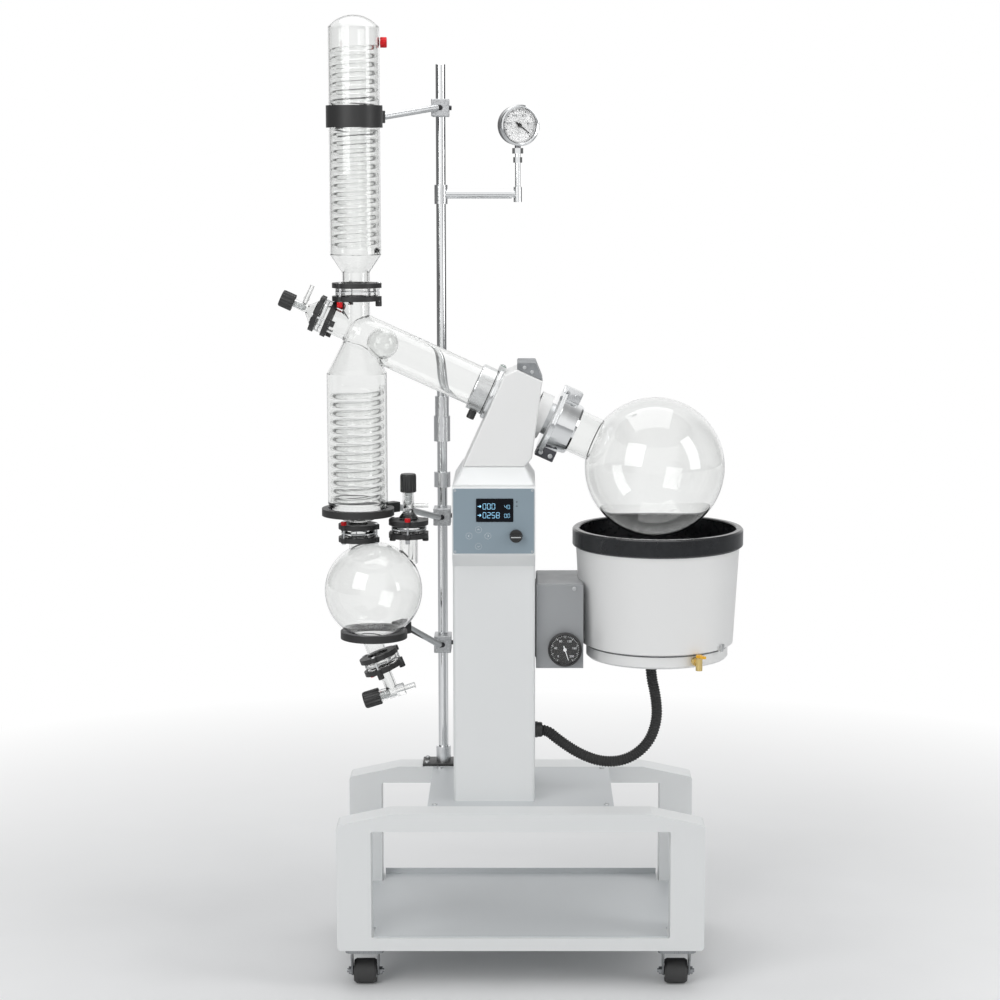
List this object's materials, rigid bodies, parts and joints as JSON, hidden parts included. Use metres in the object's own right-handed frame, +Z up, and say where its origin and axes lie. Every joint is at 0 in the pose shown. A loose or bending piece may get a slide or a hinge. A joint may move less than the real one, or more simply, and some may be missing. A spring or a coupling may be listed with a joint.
{
  "type": "rotary evaporator",
  "caption": "Floor-standing rotary evaporator: tilted rotating flask over a lifting heating bath, slanted vapour duct, stacked coil condensers, receiving flask and wheeled cart.",
  "frame": {"origin": "on the floor, under the middle of the overall size", "axes": "+Z up, front with the control panel faces -Y, the glass stack on the -X side, the heating bath on the +X side"},
  "size_m": [0.91, 0.42, 1.867],
  "materials": {
    "cart_paint": "satin powder coat",
    "shelf_paint": "satin powder coat",
    "white_paint": "semi-gloss",
    "grey_paint": "satin",
    "black_paint": "semi-gloss",
    "motor_paint": "satin",
    "panel_blue_grey": "satin film",
    "display_black": "gloss",
    "black_plastic": "satin",
    "valve_knob_plastic": "satin",
    "grey_plastic": "matte",
    "conduit_plastic": "matte",
    "wheel_plastic": "matte",
    "black_rubber": "matte",
    "steel": "brushed",
    "chrome": "polished",
    "coupling_aluminium": "satin",
    "ring_black": "semi-gloss",
    "boss_aluminium": "cast",
    "gear_brass": "machined",
    "tap_brass": "satin",
    "tap_lever_paint": "gloss",
    "clear_glass": "polished"
  },
  "bodies": {
    "base": {"front_frame": "cart_paint", "back_frame": "cart_paint", "deck_plate": "shelf_paint", "storage_shelf": "shelf_paint", "column": "cart_paint", "control_housing": "cart_paint", "control_panel": "panel_blue_grey", "display_window": "display_black", "head_housing": "white_paint", "head_back_cover": "white_paint", "head_cover": "grey_plastic", "spindle_bearings": "steel", "shaft_seal": "black_rubber", "drive_motor": "motor_paint", "duct_coupling": "coupling_aluminium", "lower_condenser": "clear_glass", "splash_ball": "clear_glass", "lower_coil": "clear_glass", "upper_condenser": "clear_glass", "upper_coil": "clear_glass", "receiving_flask": "clear_glass", "valve_bodies": "clear_glass", "flange_rings": "ring_black", "flange_bolts": "steel", "pole": "chrome", "pole_fittings": "chrome", "boss_heads": "boss_aluminium", "band_clamp": "black_paint", "support_ring_upper": "black_paint", "support_ring_lower": "black_paint", "gauge_pipework": "chrome", "vacuum_gauge": "black_paint", "bath_conduit": "conduit_plastic"},
    "rotor": {"spindle": "steel", "drive_gear": "gear_brass", "flask_clamp": "chrome", "evaporating_flask": "clear_glass"},
    "motor_rotor": {"motor_pinion": "gear_brass"},
    "panel_knob": {"control_knob": "black_plastic"},
    "lock_knob": {"coupling_lock_knob": "black_plastic"},
    "feed_knob": {"feed_valve_knob": "valve_knob_plastic"},
    "vent_knob": {"vent_valve_knob": "valve_knob_plastic"},
    "drain_knob": {"drain_valve_knob": "valve_knob_plastic"},
    "pressure_needle": {"gauge_needle": "black_paint"},
    "bath": {"bath_pot": "steel", "bath_rim": "black_plastic", "bath_shell": "white_paint", "bath_carriage": "grey_paint", "bath_tap": "tap_brass", "bath_thermometer": "black_plastic"},
    "tap_lever": {"bath_tap_lever": "tap_lever_paint"},
    "bath_needle": {"thermometer_needle": "white_paint"},
    "fork_front_left": {"caster_fork_front_left": "steel"},
    "fork_front_right": {"caster_fork_front_right": "steel"},
    "fork_back_left": {"caster_fork_back_left": "steel"},
    "fork_back_right": {"caster_fork_back_right": "steel"},
    "wheel_front_left": {"caster_wheel_front_left": "wheel_plastic"},
    "wheel_front_right": {"caster_wheel_front_right": "wheel_plastic"},
    "wheel_back_left": {"caster_wheel_back_left": "wheel_plastic"},
    "wheel_back_right": {"caster_wheel_back_right": "wheel_plastic"}
  },
  "joints": [
    {"name": "flask_spin", "type": "hinge", "parent": "base", "child": "rotor", "pos_m": [0.28, 0, 0.996], "axis": [-0.91, 0, 0.4147], "continuous": true},
    {"name": "pinion_spin", "type": "hinge", "parent": "base", "child": "motor_rotor", "pos_m": [-0.002, 0, 1.04759], "axis": [-0.91, 0, 0.4147], "continuous": true},
    {"name": "panel_knob_turn", "type": "hinge", "parent": "base", "child": "panel_knob", "pos_m": [0.008, -0.15, 0.883], "axis": [0, -1, 0], "range_deg": [-150, 120]},
    {"name": "lock_knob_turn", "type": "hinge", "parent": "base", "child": "lock_knob", "pos_m": [-0.07626, 0, 1.10649], "axis": [-0.4147, 0, -0.91], "range_deg": [-180, 90]},
    {"name": "feed_knob_turn", "type": "hinge", "parent": "base", "child": "feed_knob", "pos_m": [-0.42795, 0, 1.31864], "axis": [-0.91, 0, 0.4147], "range_deg": [0, 270]},
    {"name": "vent_knob_turn", "type": "hinge", "parent": "base", "child": "vent_knob", "pos_m": [-0.204, 0, 0.946], "axis": [0, 0, 1], "range_deg": [0, 270]},
    {"name": "drain_knob_turn", "type": "hinge", "parent": "base", "child": "drain_knob", "pos_m": [-0.23705, 0, 0.54488], "axis": [-0.9537, 0, -0.3007], "range_deg": [0, 270]},
    {"name": "gauge_needle_turn", "type": "hinge", "parent": "base", "child": "pressure_needle", "pos_m": [0.011, 0.18, 1.661], "axis": [0.342, -0.9397, 0], "range_deg": [-8, 262]},
    {"name": "bath_lift", "type": "slide", "parent": "base", "child": "bath", "axis": [0, 0, 1], "range_m": [-0.05, 0.08], "deforming": ["bath_conduit"]},
    {"name": "tap_lever_turn", "type": "hinge", "parent": "bath", "child": "tap_lever", "pos_m": [0.36071, -0.13862, 0.65], "axis": [0, 0, 1], "range_deg": [0, 90]},
    {"name": "thermometer_needle_turn", "type": "hinge", "parent": "bath", "child": "bath_needle", "pos_m": [0.103, -0.09, 0.651], "axis": [0, -1, 0], "range_deg": [-250, 0]},
    {"name": "swivel_front_left", "type": "hinge", "parent": "base", "child": "fork_front_left", "pos_m": [-0.286, -0.17, 0.081], "axis": [0, 0, 1], "continuous": true},
    {"name": "swivel_front_right", "type": "hinge", "parent": "base", "child": "fork_front_right", "pos_m": [0.32, -0.17, 0.081], "axis": [0, 0, 1], "continuous": true},
    {"name": "swivel_back_left", "type": "hinge", "parent": "base", "child": "fork_back_left", "pos_m": [-0.286, 0.17, 0.081], "axis": [0, 0, 1], "continuous": true},
    {"name": "swivel_back_right", "type": "hinge", "parent": "base", "child": "fork_back_right", "pos_m": [0.32, 0.17, 0.081], "axis": [0, 0, 1], "continuous": true},
    {"name": "roll_front_left", "type": "hinge", "parent": "fork_front_left", "child": "wheel_front_left", "pos_m": [-0.286, -0.158, 0.024], "axis": [1, 0, 0], "continuous": true},
    {"name": "roll_front_right", "type": "hinge", "parent": "fork_front_right", "child": "wheel_front_right", "pos_m": [0.32, -0.158, 0.024], "axis": [1, 0, 0], "continuous": true},
    {"name": "roll_back_left", "type": "hinge", "parent": "fork_back_left", "child": "wheel_back_left", "pos_m": [-0.286, 0.182, 0.024], "axis": [1, 0, 0], "continuous": true},
    {"name": "roll_back_right", "type": "hinge", "parent": "fork_back_right", "child": "wheel_back_right", "pos_m": [0.32, 0.182, 0.024], "axis": [1, 0, 0], "continuous": true}
  ],
  "couplings": [
    {"joint": "pinion_spin", "follows": "flask_spin", "ratio": -1.9167}
  ]
}
